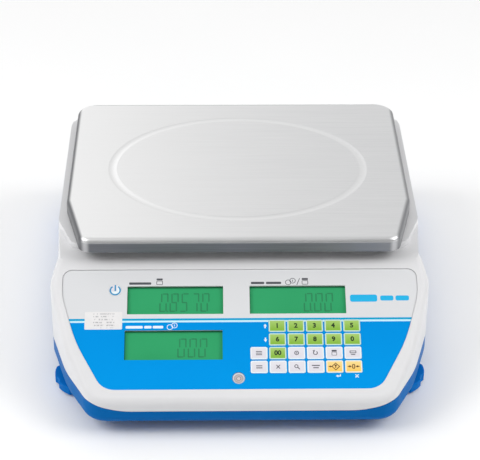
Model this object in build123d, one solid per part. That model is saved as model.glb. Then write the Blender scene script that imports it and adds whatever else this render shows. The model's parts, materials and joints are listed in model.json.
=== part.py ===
from build123d import *
import os
from math import cos, radians, sin, tan

# Retail price scale. Millimetres, +Z up, the operator's side faces -Y.
# The origin is on the resting surface, under the middle of the whole scale.

# Overall size
width = 315.0
depth = 355.0
height = 110.0

# Case: a blue base tray and a light upper housing over it
wall = 3.0
base_bottom = 9.5
base_round = 9.0
inner_round = 6.5
deck_z = 90.0
ledge_z = 95.0
draft = 4.0
parting_front = 22.8
parting_side = 30.0
parting_gap = 0.5
rim_round = 6.0

# Operator panel: a plane that slopes down towards the operator
panel_slope = 28.0
panel_top_y = -78.36
panel_top_z = 83.88
overlay_length = 101.9
overlay_sheet = 0.5
rim_rise = 0.8

# Customer panel: a steep plane at the back
rear_panel_top_y = 157.0
rear_panel_tilt = 23.1
rear_overlay_width = 244.0
rear_overlay_top = 5.5
rear_overlay_height = 34.0

# Display windows on the operator panel: x from, x to, distance down the slope from, to
weight_window = (-86.8, -13.1, 14.0, 38.4)
unit_window = (7.2, 81.2, 14.0, 38.4)
total_window = (-88.3, -13.8, 52.1, 77.2)
rear_windows = ((-112.0, -44.0), (-36.0, 32.0), (40.0, 112.0))
glass_margin = 1.8
glass_depth = 2.4
glass_thickness = 2.8
board_thickness = 1.6

# Keys
key_column = 13.6
key_row = 48.97
key_pitch_x = 14.22
key_pitch_v = 11.52
key_width = 12.9
key_length = 10.3
key_thickness = 1.15
key_stand = 0.15
key_gap = 0.15
key_travel = 0.4
power_key = (-96.2, 17.6)
power_diameter = 9.2
power_switch_gap = 0.05  # left between the pressed key and its switch
key_rows = (
    (None, "key_1", "key_2", "key_3", "key_4", "key_5"),
    (None, "key_6", "key_7", "key_8", "key_9", "key_0"),
    ("key_channel", "key_double_zero", "key_setup", "key_recall", "key_unit", "key_print"),
    ("key_total", "key_clear_entry", "key_lookup", "key_auto_clear", "key_tare", "key_zero"),
)

# Spirit level
level_place = (-2.0, 92.6)
level_diameter = 9.4

# Weighing pan and what carries it
pan_width = 275.0
pan_depth = 225.0
pan_rear_y = 149.7
pan_skirt = 11.7
pan_sheet = 0.8
pan_bend = 4.0
pan_taper = 14.0
pan_taper_y = -15.0
ring_size = (103.0, 82.0)
ring_round = 14.0
ring_depth = 0.45
ring_margin = 4.2
post_x = 105.0
post_span = 140.0
post_radius = 7.0
pad_radius = 9.0
post_hole = 12.5
platform_gap = 0.5
platform_z = 66.0
platform_plate = 4.0

# Load cell
cell_length = 130.0
cell_width = 30.0
cell_height = 22.0
cell_bottom = 34.0
cell_pedestal = 20.0
cell_bolt = 3.0
cell_bolt_pitch = 14.0

# Levelling feet
foot_radius = 26.0
foot_bottom = 1.8
foot_top = 8.9
foot_lobes = 8
front_foot = (118.8, -107.0)
rear_foot = (width / 2 - foot_radius, 120.0)
stud_radius = 4.0
stud_top = 23.0
insert_radius = 6.0

# Battery, its bay in the floor and its door
battery_size = (70.0, 101.0, 47.0)
battery_centre = (-57.0, 26.0)
battery_bay = (battery_size[0] + 4.0, battery_size[1] + 5.0)
door_thickness = 2.0
door_flange = 6.0
door_screw_offset = (battery_bay[1] + door_flange) / 2

# Main board and the sockets at the back
board_z = 22.0
board_box = ((26.0, 92.0), (-58.0, 58.0))
connector_z = 36.0
inlet_x = -62.0
serial_x = 60.0

case_screws = ((101.0, -163.0), (130.0, -15.0), (118.0, 160.0))
boss_split = 20.0

front_y = -depth / 2
rear_y = depth / 2
pan_front_y = pan_rear_y - pan_depth
pan_centre_y = (pan_rear_y + pan_front_y) / 2
pan_underside = height - pan_sheet
cell_middle_y = pan_centre_y - 2.2
cell_fixed_y = cell_middle_y + cell_length / 2 - 14.0
cell_free_y = cell_middle_y - cell_length / 2 + 14.0
slope = radians(panel_slope)

panel = Plane(
    origin=(0, panel_top_y, panel_top_z),
    x_dir=(1, 0, 0),
    z_dir=(0, -sin(slope), cos(slope)),
)
rear_panel = Plane(
    origin=(0, rear_panel_top_y, deck_z),
    x_dir=(-1, 0, 0),
    z_dir=(0, cos(radians(rear_panel_tilt)), sin(radians(rear_panel_tilt))),
)


def symmetric_face(right_points, radii):
    """A flat face, mirrored about the middle, with each corner rounded."""
    points = list(right_points) + [(-x, y) for x, y in reversed(right_points)]
    corner_radii = list(radii) + list(reversed(radii))
    return make_face(FilletPolyline(*points, radius=corner_radii, close=True))


def block(x, y, z):
    """A box between two limits on each axis."""
    middle = [(low + high) / 2 for low, high in (x, y, z)]
    return Pos(*middle) * Box(x[1] - x[0], y[1] - y[0], z[1] - z[0])


def rod(x, y, bottom, top, radius):
    """An upright cylinder."""
    return Pos(x, y, (bottom + top) / 2) * Cylinder(radius, top - bottom)


def on_panel(plane, x, v, shallow, deep, shape):
    """A flat shape pushed into a panel, from one depth to another."""
    face = plane * (Pos(x, -v, -deep) * shape)
    return extrude(face, amount=deep - shallow, dir=plane.z_dir)


def panel_block(plane, window, shallow, deep, margin=0.0, corner=0.0):
    """A window-shaped block in a panel."""
    x0, x1, v0, v1 = window
    size = (x1 - x0 + 2 * margin, v1 - v0 + 2 * margin)
    shape = RectangleRounded(*size, corner) if corner else Rectangle(*size)
    return on_panel(plane, (x0 + x1) / 2, (v0 + v1) / 2, shallow, deep, shape)


def merged(pieces):
    """Several solids fused into one."""
    result = pieces[0]
    for piece in pieces[1:]:
        result = result + piece
    return result


def mirror_x(point):
    """A point and its twin on the other side."""
    return ((point[0], point[1]), (-point[0], point[1]))


# ---------------------------------------------------------------- case outlines

def console_face():
    """Plan of the wide front half: straight front, slanting sides, rounded shoulders."""
    points = ((113.5, front_y), (133.5, -137.0), (147.6, -86.0), (139.0, -50.0), (139.0, -30.0))
    return symmetric_face(points, (20.0, 110.0, 26.0, 20.0, 0.0))


def tub_face():
    """Plan of the rear half at deck height."""
    rear = rear_y - (deck_z - base_bottom - base_round) * tan(radians(draft))
    points = ((139.4, -72.0), (144.3, -14.0), (144.3, rear))
    return symmetric_face(points, (8.0, 60.0, 25.0))


def ledge_face():
    """Plan of the raised ledge that follows the pan."""
    points = ((131.0, -57.0), (143.9, -21.0), (143.9, pan_rear_y + 6.0))
    return symmetric_face(points, (10.0, 20.0, 20.0))


def pan_face(margin=0.0):
    """Plan of the pan: parallel sides that taper towards the operator."""
    half = pan_width / 2
    points = ((half - pan_taper, pan_front_y), (half, pan_taper_y), (half, pan_rear_y))
    face = symmetric_face(points, (10.0, 22.0, 16.0))
    return offset(face, amount=margin) if margin else face


def side_profile():
    """Side view of the case below the deck."""
    rim_top_y = panel_top_y - rim_rise * sin(slope)
    rim_top_z = panel_top_z + rim_rise * cos(slope)
    break_y = rim_top_y + (deck_z - rim_top_z) / tan(slope)
    nose_z = rim_top_z - (rim_top_y - front_y) * tan(slope)
    low_y = rear_panel_top_y + (deck_z - base_bottom) * tan(radians(rear_panel_tilt))
    points = ((front_y, base_bottom), (front_y, nose_z), (break_y, deck_z),
              (rear_panel_top_y, deck_z), (low_y, base_bottom))
    return make_face(FilletPolyline(*points, radius=(0, 0, 40.0, 5.0, 0), close=True))


def shrunk(face, inset):
    """A face drawn in all round."""
    return offset(face, amount=-inset, kind=Kind.INTERSECTION) if inset else face


def side_slab(inset):
    """The side view pushed across the full width."""
    return extrude(Plane.YZ * shrunk(side_profile(), inset), amount=width, both=True)


def edges_on_panel(solid, inset):
    """Edges of a solid that lie on the operator panel's rim surface, apart from its top line."""
    found = []
    for edge in solid.edges():
        heights = [panel.to_local_coords(edge @ t).Z for t in (0.0, 0.5, 1.0)]
        if all(abs(h - rim_rise + inset) < 0.02 for h in heights):
            if abs((edge @ 0).Y - (edge @ 1).Y) > 0.5 or (edge @ 0.5).Y < front_y + 25:
                found.append(edge)
    return ShapeList(found)


def envelope(inset=0.0, rim=0.0, bottom=0.0):
    """The whole closed case, drawn in by inset, with its rim and bottom edges rounded."""
    slab = side_slab(inset)
    low = base_bottom + inset
    console = extrude(Pos(0, 0, low) * shrunk(console_face(), inset), amount=deck_z) & slab
    if rim:
        console = fillet(edges_on_panel(console, inset), rim)
    tub_top = Pos(0, 0, deck_z) * shrunk(tub_face(), inset)
    tub = extrude(tub_top, amount=-(deck_z - low), taper=-draft) & slab
    ledge_top = Pos(0, 0, ledge_z - inset) * shrunk(ledge_face(), inset)
    ledge = extrude(ledge_top, amount=-(ledge_z - deck_z + 10.0), taper=-draft)
    case = console + tub + ledge
    if bottom:
        lowest = [e for e in case.edges() if all(abs((e @ t).Z - low) < 0.01 for t in (0, 0.5, 1))]
        case = fillet(ShapeList(lowest), bottom)
    return case


def above_parting(shift=0.0):
    """Everything above the line where the two halves of the case meet."""
    far = width
    low = parting_front + shift
    side = parting_side + shift
    points = ((-far, far), (-far, side), (-117.0, side), (-90.0, low),
              (90.0, low), (117.0, side), (far, side), (far, far))
    radii = (0, 0, 60.0, 60.0, 60.0, 60.0, 0, 0)
    face = make_face(FilletPolyline(*points, radius=radii, close=True))
    return extrude(Plane.XZ * face, amount=depth, both=True)


# ---------------------------------------------------------------- operator panel

def overlay_face():
    """The printed operator overlay, in the panel's own plane."""
    points = ((136.7, 0.0), (137.0, -22.0), (125.3, -62.0), (103.8, -overlay_length))
    return symmetric_face(points, (7.0, 60.0, 120.0, 15.0))


def key_places():
    """Name and panel position of every rectangular key."""
    places = {}
    for row, names in enumerate(key_rows):
        for column, name in enumerate(names):
            if name:
                places[name] = (key_column + column * key_pitch_x, key_row + row * key_pitch_v)
    return places


def key_shape(margin=0.0):
    """Plan of one rectangular key."""
    return RectangleRounded(key_width + 2 * margin, key_length + 2 * margin, 1.4)


def key_field(margin):
    """The patch of panel that all the rectangular keys share."""
    x1 = key_column + 5 * key_pitch_x
    v1 = key_row + 3 * key_pitch_v
    half_x = key_width / 2 + margin
    half_v = key_length / 2 + margin
    return (key_column - half_x, x1 + half_x, key_row - half_v, v1 + half_v)


def front_windows():
    """The three display windows in front of the operator."""
    return (weight_window, unit_window, total_window)


def rear_window(index, margin=0.0):
    """One customer display window, in the rear panel's plane."""
    x0, x1 = rear_windows[index]
    return (x0 - margin, x1 + margin, rear_overlay_top + 5.0 - margin, rear_overlay_top + 29.0 + margin)


def front_overlay():
    """Thin printed sheet with windows, key openings and a hole over the spirit level."""
    sheet = extrude(panel * (Pos(0, 0, -overlay_sheet) * overlay_face()),
                    amount=overlay_sheet, dir=panel.z_dir)
    for window in front_windows():
        sheet -= panel_block(panel, window, -1, 2, corner=0.4)
    for x, v in key_places().values():
        sheet -= on_panel(panel, x, v, -1, 2, key_shape(key_gap))
    sheet -= on_panel(panel, *power_key, -1, 2, Circle(power_diameter / 2 + key_gap))
    sheet -= on_panel(panel, *level_place, -1, 2, Circle(level_diameter / 2 + 0.2))
    return sheet


def rear_overlay():
    """Printed sheet on the customer's side, with three windows."""
    middle = rear_overlay_top + rear_overlay_height / 2
    shape = RectangleRounded(rear_overlay_width, rear_overlay_height, 5.0)
    sheet = on_panel(rear_panel, 0, middle, 0.3, 0.3 + overlay_sheet, shape)
    for index in range(len(rear_windows)):
        sheet -= panel_block(rear_panel, rear_window(index), -1, 2, corner=1.2)
    return sheet


def panel_key(place):
    """One rectangular key, standing just proud of the overlay."""
    body = on_panel(panel, *place, -key_stand, key_thickness - key_stand, key_shape())
    top = body.faces().filter_by(lambda f: panel.to_local_coords(f.center()).Z > key_stand - 0.01)
    return fillet(top.edges(), 0.12)


def power_button():
    """The round power key."""
    disc = Circle(power_diameter / 2)
    return on_panel(panel, *power_key, -key_stand, key_thickness - key_stand, disc)


# ---------------------------------------------------------------- case halves

def boss_places():
    """Every upright screw boss that joins the two halves."""
    return [spot for place in case_screws for spot in mirror_x(place)]


def posts():
    """Plan positions of the four posts that carry the pan."""
    half = post_span / 2
    return [(sx * post_x, pan_centre_y + sy * half) for sx in (-1, 1) for sy in (-1, 1)]


def upper_housing(outer, inner):
    """Light housing: operator console, deck under the pan and customer panel."""
    shell = (outer & above_parting()) - inner
    bosses = merged([rod(x, y, boss_split, height, 4.5) for x, y in boss_places()]) & outer
    collars = merged([rod(x, y, ledge_z - wall, ledge_z + 2.5, post_hole + 1.6) for x, y in posts()])
    shell = shell + bosses + collars
    for x, y in boss_places():
        shell -= rod(x, y, boss_split - 1, boss_split + 11.0, 1.7)
    for x, y in posts():
        shell -= rod(x, y, deck_z - 10.0, height, post_hole)
    recess = offset(overlay_face(), amount=0.3)
    shell -= extrude(panel * (Pos(0, 0, -overlay_sheet) * recess), amount=3.0, dir=panel.z_dir)
    for window in front_windows():
        shell -= panel_block(panel, window, -1, 6, margin=0.4, corner=1.4)
    shell -= panel_block(panel, key_field(0.7), -1, 6, corner=2.0)
    shell -= on_panel(panel, *power_key, -1, 6, Circle(power_diameter / 2 + 0.6))
    shell -= on_panel(panel, *level_place, -1, 6, Circle(level_diameter / 2 + 0.2))
    middle = rear_overlay_top + rear_overlay_height / 2
    rear_shape = RectangleRounded(rear_overlay_width + 0.6, rear_overlay_height + 0.6, 5.3)
    shell -= on_panel(rear_panel, 0, middle, -2, 0.3 + overlay_sheet, rear_shape)
    for index in range(len(rear_windows)):
        shell -= panel_block(rear_panel, rear_window(index), -1, 7, margin=0.4, corner=1.4)
    shell -= Pos(inlet_x, rear_y, connector_z) * Rot(90, 0, 0) * Cylinder(5.2, 20.0)
    shell -= block((serial_x - 15.8, serial_x + 15.8), (rear_y - 10, rear_y + 5),
                   (connector_z - 6.4, connector_z + 6.4))
    return shell


def base_shell(outer, inner):
    """Blue tray: floor, foot bosses, load cell pedestal, stops, battery bay and standoffs."""
    shell = (outer - above_parting(-parting_gap)) - inner
    floor = base_bottom + wall
    raised = [rod(x, y, base_bottom + 0.5, boss_split, 5.5) for x, y in boss_places()]
    raised += [rod(x, y, base_bottom + 0.5, stud_top + 4.0, insert_radius + 3.0) for x, y in foot_places()]
    raised += [rod(x, y, floor - 1.0, 50.0, 5.0) for x, y in posts()]
    raised += [rod(x, y, floor - 1.0, board_z, 3.5) for x, y in standoffs()]
    raised.append(block((-20, 20), (cell_fixed_y - 18, cell_fixed_y + 18), (floor - 1.0, cell_pedestal)))
    shell = shell + merged(raised)
    for x, y in boss_places():
        shell -= rod(x, y, base_bottom - 1, base_bottom + 5.5, 4.2)
        shell -= rod(x, y, base_bottom, boss_split + 1, 2.2)
    for x, y in foot_places():
        shell -= rod(x, y, base_bottom - 1, stud_top + 1.0, insert_radius)
    for x, y in posts():
        shell -= rod(x, y, 36.0, 51.0, 2.55)
    for y in cell_bolt_ys(cell_fixed_y):
        shell -= rod(0, y, base_bottom - 1, base_bottom + 6.5, 5.6)
        shell -= rod(0, y, base_bottom, cell_pedestal + 1, cell_bolt + 0.2)
    return shell - battery_opening()


def battery_opening():
    """Opening under the battery, with a shallow recess for its door."""
    x, y = battery_centre
    hole = Pos(x, y, base_bottom) * Box(*battery_bay, 20.0)
    border = 2 * door_flange + 0.6
    across, along = (size + border for size in battery_bay)
    recess = Pos(x, y, base_bottom) * Box(across, along, 2 * door_thickness)
    tab = rod(x, y + door_screw_offset, base_bottom - 1, base_bottom + wall + 1, 1.7)
    return hole + recess + tab


# ---------------------------------------------------------------- inside the base

def foot_places():
    """Plan positions of the four levelling feet."""
    return [spot for place in (front_foot, rear_foot) for spot in mirror_x(place)]


def cell_bolt_ys(middle):
    """Two bolts in line along the load cell."""
    return (middle - cell_bolt_pitch / 2, middle + cell_bolt_pitch / 2)


def standoffs():
    """Posts that hold the main board."""
    (x0, x1), (y0, y1) = board_box
    return [(x, y) for x in (x0 + 4, x1 - 4) for y in (y0 + 4, y1 - 4)]


def battery_door():
    """Flat door under the battery, held by a tongue and one screw."""
    x, y = battery_centre
    size = (battery_bay[0] + 2 * door_flange, battery_bay[1] + 2 * door_flange, door_thickness)
    plate = Pos(x, y, base_bottom + door_thickness / 2) * Box(*size)
    plate = fillet(plate.edges().filter_by(Axis.Z), 2.0)
    grips = [Pos(x + i * 5.0, y - 40.0, base_bottom) * Box(2.0, 14.0, 1.0) for i in range(-2, 3)]
    return plate - merged(grips) - rod(x, y + door_screw_offset, 0, 20, 2.0)


def battery():
    """Sealed lead-acid battery with two tab terminals."""
    x, y = battery_centre
    bottom = base_bottom + door_thickness + 0.3
    case = Pos(x, y, bottom + battery_size[2] / 2) * Box(*battery_size)
    case = fillet(case.edges().filter_by(Axis.Y), 1.5)
    end = y + battery_size[1] / 2
    tabs = [block((x + s * 22 - 2.4, x + s * 22 + 2.4), (end - 0.5, end + 5.5), (bottom + 36, bottom + 36.8))
            for s in (-1, 1)]
    return merged([case] + tabs)


def load_cell():
    """Single-point aluminium cell with two joined bores that let its free end bend."""
    y0, y1 = cell_middle_y - cell_length / 2, cell_middle_y + cell_length / 2
    body = block((-cell_width / 2, cell_width / 2), (y0, y1), (cell_bottom, cell_bottom + cell_height))
    axis_z = cell_bottom + cell_height / 2
    bores = (cell_middle_y - 13.0, cell_middle_y + 13.0)
    for y in bores:
        body -= Pos(0, y, axis_z) * Rot(0, 90, 0) * Cylinder(8.6, cell_width + 2)
    body -= block((-cell_width, cell_width), bores, (axis_z - 3, axis_z + 3))
    for y in cell_bolt_ys(cell_fixed_y):
        body -= rod(0, y, cell_bottom - 1, cell_bottom + 15.0, cell_bolt + 0.02)
    for y in cell_bolt_ys(cell_free_y):
        body -= rod(0, y, cell_bottom + 8.0, cell_bottom + cell_height + 1, cell_bolt + 0.35)
    return body


def load_cell_spacer():
    """Block between the base and the fixed end of the load cell."""
    body = block((-cell_width / 2, cell_width / 2), (cell_fixed_y - 14, cell_fixed_y + 14),
                 (cell_pedestal, cell_bottom))
    for y in cell_bolt_ys(cell_fixed_y):
        body -= rod(0, y, cell_pedestal - 1, cell_bottom + 1, cell_bolt + 0.2)
    return body


def hex_socket_bolt(x, y, head_bottom, head_top, shank_end, radius):
    """Socket-head bolt: the head stands between two heights and the shank runs to an end."""
    head = rod(x, y, head_bottom, head_top, radius * 1.7)
    shank = rod(x, y, min(shank_end, head_bottom), max(shank_end, head_top), radius)
    outward = head_top if shank_end < head_bottom else head_bottom
    socket = Pos(x, y, outward) * extrude(RegularPolygon(radius * 0.8, 6), amount=radius, both=True)
    return head + shank - socket


def base_cell_bolts():
    """Two bolts from under the base into the load cell."""
    top = cell_bottom + 12.0
    return [hex_socket_bolt(0, y, base_bottom + 1.0, base_bottom + 6.5, top, cell_bolt)
            for y in cell_bolt_ys(cell_fixed_y)]


def platform_cell_bolts():
    """Two bolts from the platform into the load cell's free end."""
    seat = platform_z + platform_plate
    return [hex_socket_bolt(0, y, seat, seat + 5.5, cell_bottom + 10.0, cell_bolt)
            for y in cell_bolt_ys(cell_free_y)]


def overload_stops():
    """Four screws that stop the platform before the load cell bends too far."""
    top = platform_z - platform_gap
    return [rod(x, y, 38.0, top, 2.5) + rod(x, y, top - 3.5, top, 4.5) for x, y in posts()]


def sub_platform():
    """Cast frame on the load cell's free end, with four posts for the pan."""
    top = platform_z + platform_plate
    half = post_span / 2
    ys = (pan_centre_y - half, pan_centre_y + half)
    spine = block((-26, 26), (ys[0] - 12, ys[1] + 12), (platform_z, top))
    frame = [spine, block((-15, 15), (cell_free_y - 14, cell_free_y + 14),
                          (cell_bottom + cell_height + platform_gap, platform_z + 1))]
    for y in ys:
        frame.append(block((-post_x - 11, post_x + 11), (y - 11, y + 11), (platform_z, top)))
        frame += [block(span, (y + s * 9 - 1.5, y + s * 9 + 1.5), (top - 1, top + 6))
                  for s in (-1, 1) for span in ((-post_x, -24), (24, post_x))]
    frame += [block((s * 24 - 1.5, s * 24 + 1.5), (ys[0], ys[1]), (top - 1, top + 6)) for s in (-1, 1)]
    frame += [rod(x, y, platform_z, pan_underside - 3.0, post_radius) for x, y in posts()]
    body = merged(frame)
    for y in cell_bolt_ys(cell_free_y):
        body -= rod(0, y, cell_bottom, top + 10, cell_bolt + 0.2)
    for y in (pan_centre_y - 5, pan_centre_y + 35):
        body -= block((-16, 16), (y - 14, y + 14), (platform_z - 1, top + 1))
    return body


def platform_pads():
    """Rubber caps on the four posts."""
    caps = []
    for x, y in posts():
        cap = rod(x, y, pan_underside - 9.0, pan_underside, pad_radius)
        caps.append(cap - rod(x, y, pan_underside - 10.0, pan_underside - 3.0, post_radius))
    return caps


def pressed_ring():
    """The space above the shallow oval ring pressed into the pan."""
    start = Pos(0, pan_centre_y, height + ring_round - ring_depth)
    path = start * Edge.make_ellipse(*ring_size)
    profile = Plane(origin=path @ 0, z_dir=path % 0) * Circle(ring_round)
    return sweep(profile, path=path)


def weighing_pan():
    """Pressed steel pan: flat top with an oval bead, tapered front and a turned-down skirt."""
    bottom = height - pan_skirt
    outer = extrude(Pos(0, 0, bottom) * pan_face(), amount=pan_skirt)
    outer = fillet(outer.faces().sort_by(Axis.Z)[-1].edges(), pan_bend)
    inner = extrude(Pos(0, 0, bottom - 1) * pan_face(-pan_sheet), amount=pan_skirt + 1 - pan_sheet)
    inner = fillet(inner.faces().sort_by(Axis.Z)[-1].edges(), pan_bend - pan_sheet)
    tray = outer - inner
    under = Ellipse(*[r + ring_margin for r in ring_size]) - Ellipse(*[r - ring_margin for r in ring_size])
    tray += extrude(Pos(0, pan_centre_y, pan_underside - ring_depth) * under, amount=ring_depth + 0.1)
    tray -= pressed_ring()
    for x, y in posts():
        cup = rod(x, y, pan_underside - 6.0, pan_underside + 0.2, pad_radius + 1.5)
        tray += cup - rod(x, y, pan_underside - 7.0, pan_underside, pad_radius + 0.5)
    return tray


# ---------------------------------------------------------------- electronics

def lcd(window):
    """Display glass behind one window."""
    return panel_block(panel, window, glass_depth, glass_depth + glass_thickness, margin=glass_margin)


def rear_lcds():
    """Display glasses behind the customer windows."""
    start = wall + 0.2
    return [panel_block(rear_panel, rear_window(i), start, start + glass_thickness, margin=glass_margin)
            for i in range(len(rear_windows))]


def front_display_board():
    """Board behind the operator displays, with the driver chips on its back."""
    near = glass_depth + glass_thickness
    far = near + board_thickness
    top = panel_block(panel, (-104.0, 92.0, 9.0, 41.0), near, far)
    side = panel_block(panel, (-98.0, -4.0, 40.0, 84.0), near, far)
    chips = [panel_block(panel, (x, x + 12.0, v, v + 12.0), far - 0.1, far + 1.6)
             for x, v in ((-60.0, 20.0), (30.0, 20.0), (-55.0, 58.0))]
    pressed = key_thickness - key_stand + key_travel + power_switch_gap
    switch = on_panel(panel, *power_key, pressed, near + 0.1, Circle(3.0))
    return merged([top, side, switch] + chips)


def keypad_membrane():
    """Contact sheet with one snap dome under each rectangular key."""
    top = key_thickness - key_stand + key_travel + 0.45
    sheet = panel_block(panel, key_field(0.35), top, top + 0.5, corner=2.0)
    domes = []
    for x, v in key_places().values():
        place = panel.location * Pos(x, -v, -top - 0.05) * Cone(3.6, 1.8, 0.45, align=(
            Align.CENTER, Align.CENTER, Align.MIN))
        domes.append(place)
    return merged([sheet] + domes)


def keypad_board():
    """Board under the contact sheet."""
    top = key_thickness - key_stand + key_travel + 0.95
    return panel_block(panel, (5.6, 93.0, 43.2, 93.0), top, top + board_thickness)


def rear_display_board():
    """Board behind the customer displays."""
    near = wall + 0.2 + glass_thickness
    window = (-116.0, 116.0, rear_overlay_top + 2.0, rear_overlay_top + 32.0)
    board = panel_block(rear_panel, window, near, near + board_thickness)
    chip = panel_block(rear_panel, (-6.0, 6.0, 12.0, 24.0), near + board_thickness - 0.1,
                       near + board_thickness + 1.6)
    return board + chip


def main_board():
    """Main board with its processor, converter, charger parts and headers."""
    (x0, x1), (y0, y1) = board_box
    top = board_z + board_thickness
    pieces = [block((x0, x1), (y0, y1), (board_z, top))]
    chips = ((58, 10, 14, 14, 1.6), (44, -30, 10, 8, 1.6), (78, 30, 9, 20, 8.0), (40, 40, 12, 6, 9.0),
             (60, -48, 30, 6, 9.0), (80, -10, 8, 8, 12.0))
    for x, y, size_x, size_y, tall in chips:
        pieces.append(block((x - size_x / 2, x + size_x / 2), (y - size_y / 2, y + size_y / 2),
                            (top - 0.1, top + tall)))
    return merged(pieces)


def power_inlet():
    """Low-voltage inlet with its centre pin, set into the back of the housing."""
    face = rear_y - 3.0
    body_z = (connector_z - 5.5, connector_z + 5.5)
    body = block((inlet_x - 5.5, inlet_x + 5.5), (face - 15.0, face - 3.0), body_z)
    nose = Pos(inlet_x, face - 3.0, connector_z) * Rot(90, 0, 0) * Cylinder(5.0, 6.0)
    socket = Pos(inlet_x, face - 4.5, connector_z) * Rot(90, 0, 0) * Cylinder(2.9, 9.2)
    pin = Pos(inlet_x, face - 5.5, connector_z) * Rot(90, 0, 0) * Cylinder(1.0, 9.0)
    return body + nose - socket + pin


def serial_connector():
    """Nine-way serial socket with its flange and two hexagonal jack posts."""
    face = rear_y - 4.4
    flange_z = (connector_z - 6.1, connector_z + 6.1)
    body_z = (connector_z - 5.5, connector_z + 5.5)
    flange = block((serial_x - 15.4, serial_x + 15.4), (face - 1.0, face), flange_z)
    body = block((serial_x - 14.0, serial_x + 14.0), (face - 11.0, face - 0.5), body_z)
    nose = Pos(serial_x, face, connector_z) * Rot(90, 0, 0) * extrude(
        RectangleRounded(16.9, 8.3, 2.6), amount=4.0, both=True)
    shell = flange + body + nose
    for row, count in ((1.4, 5), (-1.4, 4)):
        for index in range(count):
            x = serial_x + (index - (count - 1) / 2) * 2.77
            shell -= Pos(x, face + 2.0, connector_z + row) * Rot(90, 0, 0) * Cylinder(0.55, 8.0)
    for x in (serial_x - 12.5, serial_x + 12.5):
        hexagon = Pos(x, face, connector_z) * Rot(90, 0, 0) * extrude(RegularPolygon(2.4, 6), amount=-4.0)
        shell += hexagon
    return shell


def level_vial():
    """Round spirit level: a clear cup with a flange under the panel."""
    cup = on_panel(panel, *level_place, 0.2, 8.5, Circle(level_diameter / 2))
    collar = Circle(level_diameter / 2 + 2)
    flange = on_panel(panel, *level_place, glass_depth + 0.05, glass_depth + 1.6, collar)
    return fillet((cup + flange).edges().sort_by(lambda e: -panel.to_local_coords(e @ 0.5).Z)[0:1], 0.6)


# ---------------------------------------------------------------- feet and screws

def foot_inserts():
    """Threaded brass inserts for the feet."""
    bore = stud_radius + 0.05
    return [rod(x, y, base_bottom, stud_top + 1.0, insert_radius) - rod(x, y, 0, stud_top + 2.0, bore)
            for x, y in foot_places()]


def foot_knob(x, y):
    """Lobed knob with its stud, and a blind bore below for the sole."""
    disc = rod(x, y, foot_bottom, foot_top, foot_radius)
    for index in range(foot_lobes):
        turn = Rot(0, 0, (index + 0.5) * 360 / foot_lobes)
        disc -= Pos(x, y, 0) * turn * Pos(foot_radius + 5.4, 0, 5.0) * Cylinder(7.0, 20.0)
    disc = fillet(disc.edges().group_by(Axis.Z)[-1] + disc.edges().group_by(Axis.Z)[0], 0.8)
    disc += rod(x, y, foot_top - 1.0, stud_top, stud_radius)
    return disc - rod(x, y, foot_bottom - 1.0, foot_bottom + 3.0, 3.1)


def foot_sole(x, y):
    """Rubber sole that turns under the knob on a short spigot."""
    sole = rod(x, y, 0, foot_bottom - 0.1, 19.0)
    sole = fillet(sole.edges().group_by(Axis.Z)[0], 0.6)
    return sole + rod(x, y, foot_bottom - 0.2, foot_bottom + 2.7, 3.0)


def pan_head_screw(x, y, head_bottom, length, radius, head_radius):
    """Upright screw put in from below."""
    head = rod(x, y, head_bottom, head_bottom + 2.4, head_radius)
    head = fillet(head.edges().group_by(Axis.Z)[0], 0.8)
    slot = block((x - 0.5, x + 0.5), (y - 2.2, y + 2.2), (head_bottom - 1, head_bottom + 1.2))
    cross = block((x - 2.2, x + 2.2), (y - 0.5, y + 0.5), (head_bottom - 1, head_bottom + 1.2))
    return head + rod(x, y, head_bottom, head_bottom + length, radius) - slot - cross


def screws():
    """Six case screws and the battery door's screw."""
    found = [pan_head_screw(x, y, base_bottom + 3.1, 16.0, 1.65, 3.6) for x, y in boss_places()]
    x, y = battery_centre
    found.append(pan_head_screw(x, y + door_screw_offset, base_bottom - 2.4, 7.0, 1.65, 3.6))
    return found


# ---------------------------------------------------------------- all the nodes

def all_nodes():
    """Every piece of the scale by name."""
    outer = envelope(0.0, rim=rim_round, bottom=base_round)
    inner = envelope(wall, bottom=inner_round)
    nodes = {
        "base_shell": base_shell(outer, inner),
        "upper_housing": upper_housing(outer, inner),
        "front_overlay": front_overlay(),
        "rear_overlay": rear_overlay(),
        "lcd_weight": lcd(weight_window),
        "lcd_unit_price": lcd(unit_window),
        "lcd_total_price": lcd(total_window),
        "rear_lcd_modules": Compound(children=rear_lcds()),
        "front_display_board": front_display_board(),
        "keypad_board": keypad_board(),
        "keypad_membrane": keypad_membrane(),
        "rear_display_board": rear_display_board(),
        "main_board": main_board(),
        "load_cell": load_cell(),
        "load_cell_spacer": load_cell_spacer(),
        "base_cell_bolts": Compound(children=base_cell_bolts()),
        "overload_stops": Compound(children=overload_stops()),
        "battery": battery(),
        "battery_door": battery_door(),
        "case_screws": Compound(children=screws()),
        "power_inlet": power_inlet(),
        "serial_connector": serial_connector(),
        "level_vial": level_vial(),
        "foot_inserts": Compound(children=foot_inserts()),
        "sub_platform": sub_platform(),
        "platform_pads": Compound(children=platform_pads()),
        "platform_cell_bolts": Compound(children=platform_cell_bolts()),
        "weighing_pan": weighing_pan(),
        "key_power": power_button(),
    }
    for name, place in key_places().items():
        nodes[name] = panel_key(place)
    feet = {"front_right": front_foot, "rear_right": rear_foot}
    for corner, (x, y) in feet.items():
        left = corner.replace("right", "left")
        nodes[f"foot_knob_{corner}"] = foot_knob(x, y)
        nodes[f"foot_sole_{corner}"] = foot_sole(x, y)
        nodes[f"foot_knob_{left}"] = foot_knob(-x, y)
        nodes[f"foot_sole_{left}"] = foot_sole(-x, y)
    return nodes


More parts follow.
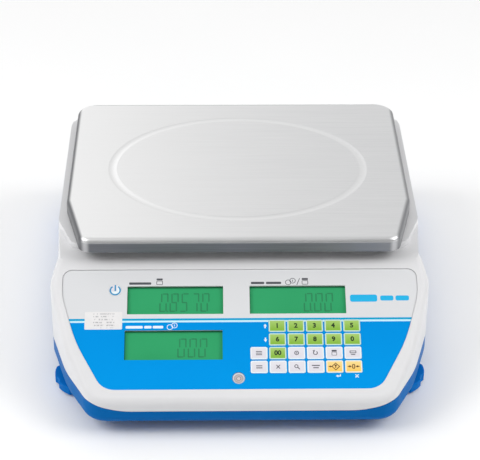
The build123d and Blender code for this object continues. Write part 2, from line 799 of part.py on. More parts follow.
os.makedirs("parts", exist_ok=True)
for node_name, shape in all_nodes().items():
    export_step(shape, f"parts/{node_name}.step")
    print(node_name, round(shape.volume))
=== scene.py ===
import bpy
import json
import math
from mathutils import Matrix, Vector

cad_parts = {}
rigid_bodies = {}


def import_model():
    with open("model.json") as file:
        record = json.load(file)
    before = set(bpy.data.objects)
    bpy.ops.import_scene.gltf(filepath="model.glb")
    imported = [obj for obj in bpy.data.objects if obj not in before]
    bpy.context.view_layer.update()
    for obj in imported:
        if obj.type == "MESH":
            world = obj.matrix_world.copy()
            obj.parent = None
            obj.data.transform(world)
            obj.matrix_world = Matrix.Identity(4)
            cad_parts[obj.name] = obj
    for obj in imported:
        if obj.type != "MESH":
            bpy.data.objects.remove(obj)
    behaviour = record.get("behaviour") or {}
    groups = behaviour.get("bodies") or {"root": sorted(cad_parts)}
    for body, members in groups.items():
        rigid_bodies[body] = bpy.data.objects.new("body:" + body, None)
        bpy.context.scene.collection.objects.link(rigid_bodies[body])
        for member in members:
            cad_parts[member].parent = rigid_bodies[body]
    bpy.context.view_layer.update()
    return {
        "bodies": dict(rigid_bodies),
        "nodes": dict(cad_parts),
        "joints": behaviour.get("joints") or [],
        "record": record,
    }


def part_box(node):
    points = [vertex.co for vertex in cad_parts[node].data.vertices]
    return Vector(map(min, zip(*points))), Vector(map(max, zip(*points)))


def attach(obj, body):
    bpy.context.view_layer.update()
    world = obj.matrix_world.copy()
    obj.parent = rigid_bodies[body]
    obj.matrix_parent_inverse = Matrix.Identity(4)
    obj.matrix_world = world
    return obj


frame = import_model()
mm = 0.001
joints = {j["name"]: j for j in frame["joints"]}
cadNodes = frame["nodes"]

# the operator panel's own axes: right, up the slope, and out of it
panelNormal = -Vector(joints["key_1_press"]["axis"]).normalized()
panelRight = Vector((1, 0, 0))
panelUp = panelNormal.cross(panelRight)
overlaySheet = 0.5 * mm
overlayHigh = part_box("front_overlay")[1]
panelTop = Vector((0, overlayHigh.y + overlaySheet * panelNormal.y, overlayHigh.z))
panelFrame = Matrix((
    (panelRight.x, panelUp.x, panelNormal.x, panelTop.x),
    (panelRight.y, panelUp.y, panelNormal.y, panelTop.y),
    (panelRight.z, panelUp.z, panelNormal.z, panelTop.z),
    (0, 0, 0, 1),
))
keyNames = [n for n in cadNodes if n.startswith("key_") and n in frame["bodies"]]
slots = {s["node"]: s["material_slot"] for s in frame["record"]["subparts"]}


def srgb(red, green, blue):
    def linear(part):
        part = part / 255
        return part / 12.92 if part <= 0.04045 else ((part + 0.055) / 1.055) ** 2.4
    return (linear(red), linear(green), linear(blue), 1.0)


class Wire:
    # one shader socket with the arithmetic that the materials use
    def __init__(self, shade, socket):
        self.shade = shade
        self.socket = socket

    def op(self, operation, *others):
        inputs = {i: v for i, v in enumerate((self,) + others)}
        return self.shade.node("ShaderNodeMath", {"operation": operation}, inputs)

    def __add__(self, other):
        return self.op("ADD", other)

    def __sub__(self, other):
        return self.op("SUBTRACT", other)

    def __mul__(self, other):
        return self.op("MULTIPLY", other)

    def __truediv__(self, other):
        return self.op("DIVIDE", other)

    def __gt__(self, other):
        return self.op("GREATER_THAN", other)

    def __lt__(self, other):
        return self.op("LESS_THAN", other)

    def __rsub__(self, other):
        return (self * -1) + other

    __radd__ = __add__
    __rmul__ = __mul__

    def between(self, low, high):
        return (self > low) * (self < high)

    def step(self, low, high):
        settings = {"interpolation_type": "SMOOTHSTEP"}
        return self.shade.node("ShaderNodeMapRange", settings, {"Value": self, "From Min": low, "From Max": high})


class Shade:
    # one material: a principled surface and whatever feeds it
    def __init__(self, name, **constants):
        self.material = bpy.data.materials.new(name)
        self.material.use_nodes = True
        self.tree = self.material.node_tree
        self.surface = self.tree.nodes["Principled BSDF"]
        coords = self.tree.nodes.new("ShaderNodeTexCoord")
        self.place = Wire(self, coords.outputs["Object"])
        for socket, value in constants.items():
            self.surface.inputs[socket.replace("_", " ")].default_value = value

    def node(self, kind, settings=None, inputs=None, out=0):
        made = self.tree.nodes.new(kind)
        for key, value in (settings or {}).items():
            setattr(made, key, value)
        for key, value in (inputs or {}).items():
            if isinstance(value, Wire):
                self.tree.links.new(value.socket, made.inputs[key])
            else:
                made.inputs[key].default_value = value
        return Wire(self, made.outputs[out])

    def feed(self, **wires):
        for socket, wire in wires.items():
            self.tree.links.new(wire.socket, self.surface.inputs[socket.replace("_", " ")])
        return self

    def axes(self):
        split = self.tree.nodes.new("ShaderNodeSeparateXYZ")
        self.tree.links.new(self.place.socket, split.inputs[0])
        return [Wire(self, s) * 1000 for s in split.outputs]

    def noise(self, scale, detail=2.0, stretch=(1, 1, 1), rough=0.5):
        spot = self.node("ShaderNodeVectorMath", {"operation": "MULTIPLY"}, {0: self.place, 1: stretch})
        return self.node("ShaderNodeTexNoise", None, {
            "Vector": spot, "Scale": scale, "Detail": detail, "Roughness": rough})

    def blend(self, share, low, high):
        return self.node("ShaderNodeMix", {"data_type": "RGBA"}, {0: share, 6: low, 7: high}, out=2)

    def bump(self, height, distance, strength):
        return self.node("ShaderNodeBump", None, {"Height": height, "Distance": distance, "Strength": strength})


def panelAxes(shade):
    # x across and v down the slope of the operator panel, in millimetres
    x, y, z = shade.axes()
    down = (y - panelTop.y / mm) * -panelUp.y + (z - panelTop.z / mm) * -panelUp.z
    return x, down


def mouldedPlastic(name, colour, shadeColour, grain=2600, roughness=0.42, depth=0.00002, gloss=0.2):
    look = Shade(name, Specular_IOR_Level=gloss)
    broad = look.noise(9.0, 3.0)
    fine = look.noise(grain, 1.0)
    mottle = look.noise(160.0, 3.0)
    tone = look.blend(broad * 0.7 + mottle * 0.3, shadeColour, colour)
    rough = roughness + (mottle - 0.5) * 0.12
    look.feed(Base_Color=tone, Roughness=rough, Normal=look.bump(fine, depth, 0.35))
    return look.material


def dress(material, *names):
    for name in names:
        for holder in cadNodes[name].material_slots:
            holder.material = material


def deselectAll():
    if bpy.context.object and bpy.context.object.mode != "OBJECT":
        bpy.ops.object.mode_set(mode="OBJECT")
    bpy.ops.object.select_all(action="DESELECT")


def chooseFaces(piece, test):
    # only the faces whose centre passes the test stay selected
    bpy.ops.mesh.select_mode(type="FACE")
    bpy.ops.mesh.select_all(action="DESELECT")
    bpy.ops.object.mode_set(mode="OBJECT")
    for face in piece.data.polygons:
        face.select = test(face.center / mm)
    bpy.ops.object.mode_set(mode="EDIT")


def settle(place, turned):
    # leaves edit mode and moves the shape to its place, in millimetres
    bpy.ops.object.mode_set(mode="OBJECT")
    shape = bpy.context.object
    move = Matrix.Translation((place[0] * mm, place[1] * mm, 0))
    shape.data.transform(move @ Matrix.Rotation(math.radians(turned), 4, "Z"))
    return shape


def flatBar(width, height, place=(0, 0), turned=0, corner=0.0, line=0.0, steps=3):
    # a rectangle with cut or rounded corners, solid or as an outline
    deselectAll()
    bpy.ops.mesh.primitive_plane_add(size=mm, enter_editmode=True)
    bpy.ops.transform.resize(value=(width, height, 1))
    if corner:
        bpy.ops.mesh.bevel(offset=corner * mm, affect="VERTICES", segments=steps)
    if line:
        bpy.ops.mesh.inset(thickness=line * mm)
        bpy.ops.mesh.delete(type="FACE")
    return settle(place, turned)


def flatRound(radius, place=(0, 0), turned=0, line=0.0, gap=0.0, sides=40):
    # a disc, a ring, a ring with a gap at its top, or a triangle
    deselectAll()
    bpy.ops.mesh.primitive_circle_add(vertices=sides, radius=radius * mm, fill_type="NGON", enter_editmode=True)
    if line:
        bpy.ops.mesh.inset(thickness=line * mm)
        bpy.ops.mesh.delete(type="FACE")
    if gap:
        limit = math.cos(math.radians(gap))
        chooseFaces(bpy.context.object, lambda c: c.y > c.length * limit)
        bpy.ops.mesh.delete(type="FACE")
    return settle(place, turned)


def flatDigits(text, size, boldness):
    # a number's character shapes as filled outlines
    deselectAll()
    bpy.ops.object.text_add()
    letters = bpy.context.object
    letters.data.body = text
    letters.data.size = size * mm
    letters.data.offset = boldness * mm
    letters.data.align_x = "CENTER"
    letters.data.align_y = "CENTER"
    letters.data.resolution_u = 4
    bpy.ops.object.convert(target="MESH")
    return bpy.context.object


def finishPiece(name, shapes, look, place, body, thickness):
    # joins flat shapes, gives them their thickness and lays them on their surface
    deselectAll()
    for shape in shapes:
        shape.select_set(True)
    bpy.context.view_layer.objects.active = shapes[0]
    if len(shapes) > 1:
        bpy.ops.object.join()
    piece = bpy.context.object
    bpy.ops.object.mode_set(mode="EDIT")
    bpy.ops.mesh.select_all(action="SELECT")
    bpy.ops.mesh.remove_doubles(threshold=0.000001)
    bpy.ops.mesh.extrude_region_move(TRANSFORM_OT_translate={"value": (0, 0, thickness * mm)})
    bpy.ops.mesh.select_all(action="SELECT")
    bpy.ops.mesh.normals_make_consistent(inside=False)
    bpy.ops.object.mode_set(mode="OBJECT")
    piece.data.transform(place)
    piece.name = name
    piece.data.name = name
    piece.data.materials.clear()
    piece.data.materials.append(look)
    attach(piece, body)
    return piece


def onPanel(x, down, lift=0.0):
    # a place on the operator panel in millimetres, and how far it stands off the sheet
    return panelFrame @ Matrix.Translation((x * mm, -down * mm, lift * mm))


def standing(name, out=panelNormal, start=panelTop):
    # how high a node reaches over a panel, in millimetres
    return max((v.co - start).dot(out) for v in cadNodes[name].data.vertices) / mm


# ---- camera and light
cameraSet = {
    "place": (-0.022976, -1.210835, 0.822644),
    "yaw": 1.159, "pitch": 31.803, "roll": 0.358,
    "lens": 130.62, "sensor": 36.0,
}
yaw, pitch, roll = (math.radians(cameraSet[k]) for k in ("yaw", "pitch", "roll"))
ahead = Vector((math.sin(yaw) * math.cos(pitch), math.cos(yaw) * math.cos(pitch), -math.sin(pitch)))
level = Vector((math.cos(yaw), -math.sin(yaw), 0))
upright = level.cross(ahead)
cameraRight = math.cos(roll) * level + math.sin(roll) * upright
cameraUp = math.cos(roll) * upright - math.sin(roll) * level
cameraData = bpy.data.cameras.new("camera")
cameraData.lens = cameraSet["lens"]
cameraData.sensor_width = cameraSet["sensor"]
camera = bpy.data.objects.new("camera", cameraData)
turn = Matrix((cameraRight, cameraUp, -ahead)).transposed().to_4x4()
camera.matrix_world = Matrix.Translation(cameraSet["place"]) @ turn
bpy.context.scene.collection.objects.link(camera)
bpy.context.scene.camera = camera

studio = {
    "skyFront": 0.3, "skyBack": 0.86,
    "lamps": (
        ("leftLamp", (-1.5, -0.45, 1.5), 1.2, 18.8),
        ("rightLamp", (1.5, -0.45, 1.5), 1.2, 16.8),
        ("backLamp", (-1.2, 2.3, 1.6), 2.0, 5.0),
    ),
}
bpy.context.scene.view_settings.view_transform = "Standard"
world = bpy.data.worlds.new("studio")
world.use_nodes = True
sky = world.node_tree
background = sky.nodes["Background"]
background.inputs["Color"].default_value = (1, 1, 1, 1)
skyPlace = sky.nodes.new("ShaderNodeTexCoord")
skySplit = sky.nodes.new("ShaderNodeSeparateXYZ")
skyRange = sky.nodes.new("ShaderNodeMapRange")  # the room is darker on the operator's side
for socket, value in (("From Min", -1), ("From Max", 1), ("To Min", studio["skyFront"]), ("To Max", studio["skyBack"])):
    skyRange.inputs[socket].default_value = value
sky.links.new(skyPlace.outputs["Generated"], skySplit.inputs[0])
sky.links.new(skySplit.outputs["Y"], skyRange.inputs["Value"])
sky.links.new(skyRange.outputs[0], background.inputs["Strength"])
bpy.context.scene.world = world
for name, place, size, power in studio["lamps"]:
    lamp = bpy.data.lights.new(name, "AREA")
    lamp.size = size
    lamp.energy = power
    lampObject = bpy.data.objects.new(name, lamp)
    lampObject.location = place
    lampObject.rotation_euler = (Vector((0, 0, 0.05)) - Vector(place)).to_track_quat("-Z", "Y").to_euler()
    bpy.context.scene.collection.objects.link(lampObject)

deselectAll()
bpy.ops.mesh.primitive_plane_add(size=8.0, location=(0, 0, 0))
floor = bpy.context.object
floor.name = "floor"
floorLook = Shade("floorPaper", Roughness=0.9)
floorLook.feed(Base_Color=floorLook.blend(floorLook.noise(3.0), srgb(250, 250, 250), srgb(254, 254, 254)))
floor.data.materials.append(floorLook.material)
print("camera, light and floor")


# ---- finishes for the CAD nodes
caseLight = mouldedPlastic("caseLight", srgb(231, 231, 232), srgb(224, 224, 226))
caseBlue = mouldedPlastic("caseBlue", srgb(0, 108, 184), srgb(0, 98, 170), gloss=0.05)
footBlue = mouldedPlastic("footBlue", srgb(0, 118, 202), srgb(0, 104, 186), gloss=0.05)
dress(caseLight, "upper_housing")
dress(caseBlue, "base_shell", "battery_door")
dress(footBlue, *[n for n in cadNodes if n.startswith("foot_knob")])


overlayLines = {"cyan": 42.1, "pale": 43.9, "blue": 45.5, "fadeEnd": 100.0}  # distances down the slope


def operatorPrint():
    look = Shade("operatorPrint", Specular_IOR_Level=0.04)
    x, v = panelAxes(look)
    cloud = look.noise(14.0)
    grey = look.blend(cloud, srgb(221, 222, 224), srgb(226, 227, 229))
    blue = look.blend(cloud, srgb(0, 150, 230), srgb(0, 155, 235))
    blue = look.blend(v.step(45.0, overlayLines["fadeEnd"]), look.blend(0.5, blue, srgb(0, 140, 220)), blue)
    colour = look.blend(v > overlayLines["cyan"], grey, srgb(16, 165, 215))
    colour = look.blend(v > overlayLines["pale"], colour, srgb(205, 240, 250))
    colour = look.blend(v > overlayLines["blue"], colour, blue)
    fine = look.noise(2200.0)
    look.feed(Base_Color=colour, Roughness=0.34 + (fine - 0.5) * 0.1,
              Normal=look.bump(fine, 0.00001, 0.3))
    return look.material


dress(operatorPrint(), "front_overlay")
dress(mouldedPlastic("customerPrint", srgb(0, 150, 232), srgb(0, 140, 220)), "rear_overlay")


panShape = {"taper": 14.0, "taperFrom": -15.0, "edge": 4.4, "paintedGlint": 119.5, "ring": (103.0, 82.0)}


def brushedSteel():
    look = Shade("panSteel", Metallic=1.0)
    x, y, z = look.axes()
    low, high = (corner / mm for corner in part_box("weighing_pan"))
    across = x.op("ABSOLUTE")
    slant = panShape["taper"] / (panShape["taperFrom"] - low.y)
    side = high.x - (panShape["taperFrom"] - y).op("MAXIMUM", 0.0) * slant
    # painted reflection and shade: masks for the side bends, the rear edge and the skirt, which are coloured dark to
    # stand for the dark room the steel reflects
    border = (1 - (side - across).step(1.2, panShape["edge"])).op("MAXIMUM", 1 - (high.y - y).step(2.2, 4.4))
    skirt = 1 - z.step(high.z - 4.4, high.z - 1.6)
    strokes = look.noise(55.0, 5.0, (0.3, 26.0, 26.0), 0.7)
    worn = look.noise(5.0, 2.0, (0.3, 1.0, 1.0))
    # painted shade: the pan's top is coloured lighter on its left and darker on its right, as the light falls across it
    shade = look.blend(x.step(-140.0, 170.0), srgb(234, 234, 234), srgb(204, 205, 207))
    bright = look.blend(strokes * 0.75 + worn * 0.25, shade, srgb(246, 246, 246))
    # painted reflection: the dark colour for the skirt and bends, made lighter towards the right side as the light
    # falls
    dark = look.blend(strokes, srgb(88, 89, 92), srgb(136, 137, 140))
    dark = look.blend(x.step(30.0, 150.0) * 0.5, dark, srgb(166, 167, 170))
    # painted highlight: a light streak on the skirt near its front corners
    paintedGlint = (1 - (across - panShape["paintedGlint"]).op("ABSOLUTE").step(0.5, 4.0)) * (y < low.y + 14)
    dark = look.blend(paintedGlint * 0.55, dark, srgb(222, 222, 224))
    ringX, ringY = panShape["ring"]
    middle = (low.y + high.y) / 2
    # painted highlight: a brighter band coloured along the pressed oval ring
    reach = ((x / ringX) * (x / ringX) + ((y - middle) / ringY) * ((y - middle) / ringY)).op("SQRT")
    ring = (1 - ((reach - 1) * 90).op("ABSOLUTE").step(1.0, 3.6)) * 0.35
    bright = look.blend(ring, bright, srgb(252, 252, 252))
    shadowed = skirt.op("MAXIMUM", border)
    look.feed(Base_Color=look.blend(shadowed, bright, dark), Roughness=0.3 + strokes * 0.2,
              Normal=look.bump(strokes, 0.00003, 0.25))
    return look.material


dress(brushedSteel(), "weighing_pan")
castMetal = mouldedPlastic("castMetal", srgb(150, 152, 155), srgb(128, 130, 134))
dress(castMetal, "sub_platform", "load_cell", "load_cell_spacer")
zinc = mouldedPlastic("zincSteel", srgb(190, 192, 196), srgb(150, 152, 158), roughness=0.3)
dress(zinc, "base_cell_bolts", "overload_stops", "case_screws", "platform_cell_bolts", "serial_connector")
brass = mouldedPlastic("insertBrass", srgb(205, 170, 96), srgb(180, 140, 66), roughness=0.3)
dress(brass, "foot_inserts")
rubber = mouldedPlastic("rubberBlack", srgb(42, 42, 43), srgb(30, 30, 31), roughness=0.75)
dress(rubber, "platform_pads", *[n for n in cadNodes if n.startswith("foot_sole")])
boardGreen = mouldedPlastic("boardGreen", srgb(24, 96, 58), srgb(14, 74, 42))
dress(boardGreen, "main_board", "front_display_board", "keypad_board", "rear_display_board")
film = mouldedPlastic("contactFilm", srgb(222, 224, 220), srgb(206, 208, 204))
dress(film, "keypad_membrane")
darkCase = mouldedPlastic("darkPlastic", srgb(52, 52, 54), srgb(38, 38, 40))
dress(darkCase, "battery", "power_inlet")


def displayGlass(name):
    # green, with painted shadow of the window's recess along its upper and left edges on the operator's side
    look = Shade(name + "_glass", Specular_IOR_Level=0.15, Emission_Strength=0.06)
    cloud = look.noise(22.0)
    green = look.blend(cloud, srgb(44, 154, 98), srgb(54, 166, 108))
    if name != "rear_lcd_modules":
        x, v = panelAxes(look)
        hidden = 1.8  # how far the glass reaches under the window's edge
        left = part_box(name)[0].x / mm + hidden
        top = min(-(c.co - panelTop).dot(panelUp) for c in cadNodes[name].data.vertices) / mm + hidden
        # painted shadow: darker green just inside the window's upper and left edges, where the recess would shade the
        # glass
        shade = (1 - (v - top).step(0.2, 1.7)).op("MAXIMUM", 1 - (x - left).step(0.1, 0.9))
        green = look.blend(shade * 0.7, green, srgb(10, 70, 44))
    look.feed(Base_Color=green, Emission_Color=green, Roughness=0.3 + cloud * 0.05)
    return look.material


for name in ("lcd_weight", "lcd_unit_price", "lcd_total_price", "rear_lcd_modules"):
    dress(displayGlass(name), name)


def vialLook():
    # a pale ring, clear liquid inside it and the bubble's rim at the middle
    look = Shade("vial", Specular_IOR_Level=0.5, Coat_Weight=0.6, Coat_Roughness=0.05)
    x, v = panelAxes(look)
    low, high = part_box("level_vial")
    middle = (low + high) / 2 - panelTop
    across, down = x - middle.x / mm, v + middle.dot(panelUp) / mm
    far = (across * across + down * down).op("SQRT")
    liquid = look.blend(far.step(0.6, 3.4), srgb(214, 206, 206), srgb(178, 168, 170))
    liquid = look.blend(far.between(1.35, 1.75), liquid, srgb(130, 122, 124))
    cup = look.blend(look.noise(300.0), srgb(206, 208, 212), srgb(224, 226, 230))
    look.feed(Base_Color=look.blend(far.step(3.5, 3.8), liquid, cup), Roughness=0.12 + far * 0.02)
    return look.material


dress(vialLook(), "level_vial")


keyFace = {"border": 0.9, "length": 10.3, "soft": 0.2}


def keyFinish(name, top, bottom, edge):
    # a light border round the face, and a face that darkens down the slope
    look = Shade(name, Specular_IOR_Level=0.15)
    x, v = panelAxes(look)
    low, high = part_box("key_1")
    middle = Vector(((low.x + high.x) / 2, (low.y + high.y) / 2, (low.z + high.z) / 2)) - panelTop
    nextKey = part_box("key_2")[0].x - low.x
    rowStep = (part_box("key_6")[0] - low).dot(-panelUp)
    acrossKey = (x - middle.x / mm) / (nextKey / mm)
    downKey = (v + middle.dot(panelUp) / mm) / (rowStep / mm)
    halfX = (high.x - low.x) / 2 / mm - keyFace["border"]
    halfV = keyFace["length"] / 2 - keyFace["border"]
    fracX = (acrossKey - acrossKey.op("ROUND")) * (nextKey / mm)
    fracV = (downKey - downKey.op("ROUND")) * (rowStep / mm)
    inX = 1 - fracX.op("ABSOLUTE").step(halfX - keyFace["soft"], halfX + keyFace["soft"])
    inV = 1 - fracV.op("ABSOLUTE").step(halfV - keyFace["soft"], halfV + keyFace["soft"])
    face = look.blend((fracV / 8.4 + 0.5), top, bottom)
    look.feed(Base_Color=look.blend(inX * inV, edge, face), Roughness=0.36 + look.noise(500.0) * 0.1)
    return look.material


greenKey = keyFinish("keyGreen", srgb(170, 205, 112), srgb(134, 184, 58), srgb(208, 236, 222))
whiteKey = keyFinish("keyWhite", srgb(232, 230, 236), srgb(226, 224, 232), srgb(240, 250, 252))
yellowKey = keyFinish("keyYellow", srgb(255, 224, 150), srgb(252, 204, 98), srgb(244, 246, 236))
for name in keyNames:
    look = {"key_green": greenKey, "key_yellow": yellowKey}.get(slots[name], whiteKey)
    dress(look, name)
print("finishes")


def ink(name, colour, worn):
    look = Shade(name, Specular_IOR_Level=0.4)
    speckle = look.noise(900.0, 3.0)
    look.feed(Base_Color=look.blend(speckle, colour, worn), Roughness=0.45 + speckle * 0.15)
    return look.material


darkInk = ink("darkInk", srgb(70, 72, 78), srgb(92, 94, 100))
whiteInk = ink("whiteInk", srgb(250, 253, 255), srgb(232, 244, 252))
cyanInk = ink("cyanInk", srgb(0, 176, 232), srgb(16, 186, 238))
greyInk = ink("greyInk", srgb(70, 70, 80), srgb(96, 96, 106))
numberInk = ink("numberInk", srgb(14, 40, 10), srgb(26, 56, 18))
brownInk = ink("brownInk", srgb(84, 48, 6), srgb(108, 68, 16))
segmentInk = ink("segmentInk", srgb(26, 128, 80), srgb(34, 138, 88))
powerInk = ink("powerInk", srgb(12, 132, 188), srgb(30, 150, 200))

# the number displays: seven-segment figures on each glass
figures = {
    "width": 5.8, "height": 16.2, "stroke": 1.1, "lean": 0.16, "pitch": 7.9,
    "segments": {"0": "abcdef", "5": "acdfg", "7": "abc", "8": "abcdefg"},
    "displays": (
        ("lcd_weight", "08570", -27.1, 27.2, 4),
        ("lcd_unit_price", "000", 68.1, 27.5, 2),
        ("lcd_total_price", "000", -28.9, 66.1, None),
    ),
}


def figure(text, lastX, point):
    wide, high, stroke = figures["width"], figures["height"], figures["stroke"]
    side, level, half = (wide - stroke) / 2, (high - stroke) / 2, high / 4
    bars = {
        "a": (0, level), "g": (0, 0), "d": (0, -level),
        "b": (side, half), "c": (side, -half), "f": (-side, half), "e": (-side, -half),
    }
    shapes = []
    for place, character in enumerate(text):
        start = lastX - (len(text) - 1 - place) * figures["pitch"]
        for segment in figures["segments"][character]:
            x, y = bars[segment]
            flat = segment in "agd"
            size = (wide - 1.3 * stroke, stroke) if flat else (stroke, high / 2 - 0.7 * stroke)
            shapes.append(flatBar(*size, (start + x + y * figures["lean"], y), corner=stroke * 0.4, steps=1))
    if point:
        start = lastX - (point - 0.5) * figures["pitch"]
        shapes.append(flatRound(0.6, (start - level * figures["lean"], -level), sides=12))
    return shapes


for name, text, lastX, down, point in figures["displays"]:
    finishPiece("figures_" + name[4:], figure(text, 0, point), segmentInk,
                onPanel(lastX, down, standing(name) - 0.01), "root", 0.04)
print("display figures")


# printed signs: a weight, coins, bars that stand for words, arrows
def weightSign(x=0, y=0, size=1.0):
    return [
        flatBar(4.9 * size, 3.6 * size, (x, y - 1.0 * size), corner=0.7 * size, line=0.45 * size),
        flatBar(4.7 * size, 1.7 * size, (x, y + 2.0 * size), corner=0.3 * size),
    ]


def coinSign(x=0, y=0, size=1.0):
    return [
        flatRound(2.1 * size, (x - 1.6 * size, y - 0.6 * size), line=0.42 * size, sides=28),
        flatRound(2.1 * size, (x + 1.5 * size, y + 0.7 * size), line=0.42 * size, sides=28),
        flatBar(0.5 * size, 1.5 * size, (x + 1.5 * size, y + 0.7 * size), corner=0.15 * size),
    ]


def arrowSign(x=0, y=0, turned=0, size=1.0):
    swing = Matrix.Rotation(math.radians(turned), 2)
    head = swing @ Vector((0, 0.75 * size))
    stem = swing @ Vector((0, -0.75 * size))
    return [
        flatRound(1.45 * size, (x + head.x, y + head.y), turned, sides=3),
        flatBar(0.95 * size, 1.6 * size, (x + stem.x, y + stem.y), turned),
    ]


def wordBars(spans, height):
    first = spans[0][0]
    return [flatBar(b - a, height, ((a + b) / 2 - first, 0), corner=height * 0.3) for a, b in spans]


signs = (
    ("weight_bar", wordBars(((-85.6, -68.6),), 2.0), darkInk, -85.6, 11.7),
    ("weight_sign", weightSign(), darkInk, -62.1, 10.2),
    ("unit_price_bar", wordBars(((8.4, 18.7), (20.1, 31.8)), 2.0), darkInk, 8.4, 11.7),
    ("unit_price_coins", coinSign(size=1.12), darkInk, 39.0, 10.6),
    ("unit_price_stroke", [flatBar(0.5, 6.2, turned=-22)], darkInk, 45.0, 10.6),
    ("unit_price_weight", weightSign(), darkInk, 50.2, 10.4),
    ("total_bar", wordBars(((-87.5, -74.6), (-73.4, -67.9), (-66.9, -59.0)), 2.2), whiteInk, -87.5, 49.5),
    ("total_coins", coinSign(size=1.12), whiteInk, -52.1, 48.9),
    ("up_arrow", arrowSign(), whiteInk, 18.7, 49.3),
    ("down_arrow", arrowSign(turned=180), whiteInk, 18.7, 60.5),
    ("enter_sign", arrowSign(turned=90, size=0.8) + [flatBar(0.7, 1.9, (1.6, 0.6))], whiteInk, 72.8, 91.4),
    ("leave_sign", [flatBar(0.7, 3.4, turned=a) for a in (45, -45)], whiteInk, 86.9, 91.4),
    ("maker_block", [flatBar(21.0, 6.2, corner=1.6)], cyanInk, 95.0, 25.4),
    ("maker_bars", wordBars(((107.8, 118.0), (119.6, 130.0)), 4.4), cyanInk, 107.8, 25.4),
)
for name, shapes, look, x, down in signs:
    finishPiece(name, shapes, look, onPanel(x, down, -0.02), "root", 0.06)
print("panel signs")


# the price sticker on the panel's left side, with faint rows of marks
stickerShape = {"x": (-118.9, -90.3), "down": (36.2, 51.3), "rows": 5, "rowStep": 2.5}


def stickerPaper():
    look = Shade("stickerPaper", Specular_IOR_Level=0.1)
    x, v = panelAxes(look)
    row = (v - stickerShape["down"][0] - 1.6) / stickerShape["rowStep"]
    inRow = (row - row.op("ROUND")).op("ABSOLUTE") < 0.24
    marks = look.noise(900.0, 1.0, (1.0, 0.35, 0.35)) > 0.5
    edge = x.between(stickerShape["x"][0] + 6.5, stickerShape["x"][1] - 6.0)
    inside = v.between(stickerShape["down"][0] + 1.4, stickerShape["down"][1] - 1.2)
    paper = look.blend(look.noise(200.0, 3.0), srgb(232, 230, 230), srgb(240, 239, 239))
    look.feed(Base_Color=look.blend(inRow * marks * edge * inside * 0.6, paper, srgb(150, 150, 154)),
              Roughness=0.6 + look.noise(700.0) * 0.1)
    return look.material


across, along = stickerShape["x"], stickerShape["down"]
finishPiece("sticker", [flatBar(across[1] - across[0], along[1] - along[0], corner=0.8)], stickerPaper(),
            onPanel(sum(across) / 2, sum(along) / 2, -0.02), "root", 0.1)
print("sticker")

# customer side: the same signs and figures on the back, facing the other way
rearOverlay = cadNodes["rear_overlay"]
rearNormal = sum((f.normal * f.area for f in rearOverlay.data.polygons if f.normal.y > 0.5), Vector()).normalized()
rearMiddle = sum(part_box("rear_overlay"), Vector()) / 2
rearRight = Vector((-1, 0, 0))
rearUp = rearNormal.cross(rearRight)
rearFrame = Matrix((rearRight, rearUp, rearNormal)).transposed().to_4x4()
rearFrame.translation = rearMiddle
customer = {
    "signs": (("customer_weight_sign", weightSign, -108.0), ("customer_price_sign", coinSign, -31.0),
              ("customer_total_sign", coinSign, 45.0)),
    "bars": ((-104.0, -86.0), (-25.0, -6.0), (51.0, 72.0)),
    "figures": (("customer_weight_figures", "08570", -50.5, 4), ("customer_price_figures", "000", 25.5, 2),
                ("customer_total_figures", "000", 105.5, None)),
    "signLine": 14.4,
}


def onRear(x, up, lift):
    return rearFrame @ Matrix.Translation((x * mm, up * mm, lift * mm))


sheetTop = standing("rear_overlay", rearNormal, rearMiddle)
glassTop = standing("rear_lcd_modules", rearNormal, rearMiddle)
for name, sign, x in customer["signs"]:
    finishPiece(name, sign(size=0.68), whiteInk, onRear(x, customer["signLine"], sheetTop - 0.02),
                "root", 0.06)
for number, (start, end) in enumerate(customer["bars"], 1):
    finishPiece("customer_bar_" + str(number), [flatBar(end - start, 1.5, corner=0.45)], whiteInk,
                onRear((start + end) / 2, customer["signLine"], sheetTop - 0.02), "root", 0.06)
for name, text, x, point in customer["figures"]:
    finishPiece(name, figure(text, 0, point), segmentInk, onRear(x, 0, glassTop - 0.01),
                "root", 0.04)
print("customer side")


# key legends, each riding on its key
def keyBar(width, height, x=0, y=0, turned=0):
    return flatBar(width, height, (x, y), turned, corner=min(width, height) * 0.2)


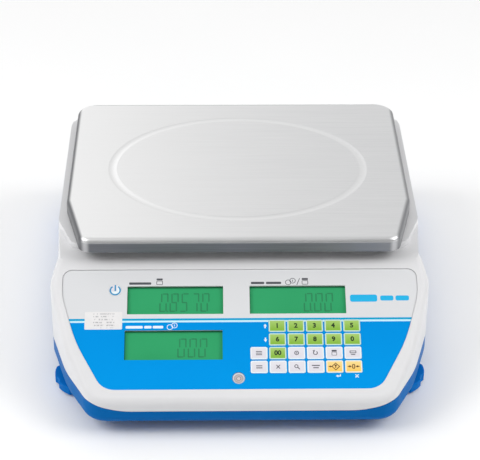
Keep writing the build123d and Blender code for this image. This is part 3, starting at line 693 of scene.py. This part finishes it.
keySigns = {
    "key_channel": lambda: [keyBar(4.6, 0.62, 0, y) for y in (1.35, 0, -1.35)],
    "key_setup": lambda: [flatRound(1.8, line=0.62, sides=10), flatRound(0.55, sides=12)],
    "key_recall": lambda: [flatRound(1.75, line=0.58, gap=34), flatRound(1.05, (-1.1, 1.65), 70, sides=3)],
    "key_unit": lambda: weightSign(size=0.82),
    "key_print": lambda: [flatBar(5.0, 2.1, (0, 0.6), corner=0.3, line=0.55), keyBar(3.3, 0.7, 0, -1.5)],
    "key_total": lambda: [keyBar(4.6, 0.72, 0, y) for y in (0.85, -0.85)],
    "key_clear_entry": lambda: [keyBar(0.66, 4.0, turned=t) for t in (42, -42)],
    "key_lookup": lambda: [flatRound(1.5, (-0.5, 0.4), line=0.55), keyBar(0.66, 2.2, 1.25, -1.3, 45)],
    "key_auto_clear": lambda: [keyBar(6.0, 0.8, 0, 0.95), keyBar(4.2, 0.8, 0, -0.95)],
    "key_tare": lambda: [flatBar(4.6, 4.6, (0.7, 0), 45, line=0.55), keyBar(0.75, 2.2, 0.7, -0.1),
                         keyBar(2.1, 0.7, 0.7, 1.1)] + arrowSign(-3.1, 0, 90, 0.75),
    "key_zero": lambda: [flatBar(2.3, 3.9, corner=1.0, line=0.65)] + arrowSign(-3.2, 0, -90, 0.8)
    + arrowSign(3.2, 0, 90, 0.8),
    "key_power": lambda: [flatRound(4.35, line=1.1, gap=34, sides=64), keyBar(1.1, 5.2, 0, 2.0)],
}
keyDigits = {"size": 5.3, "boldness": 0.2}
digitNames = {"key_" + str(d): str(d) for d in range(10)}
digitNames["key_double_zero"] = "00"
for name in keyNames:
    low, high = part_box(name)
    middle = (low + high) / 2 - panelTop
    place = onPanel(middle.dot(panelRight) / mm, -middle.dot(panelUp) / mm, standing(name) - 0.01)
    if name in digitNames:
        shapes, look = [flatDigits(digitNames[name], keyDigits["size"], keyDigits["boldness"])], numberInk
    else:
        shapes = keySigns[name]()
        look = {"key_tare": brownInk, "key_zero": brownInk, "key_power": powerInk}.get(name, greyInk)
    finishPiece("legend_" + name[4:], shapes, look, place, name, 0.04)
print("key legends")
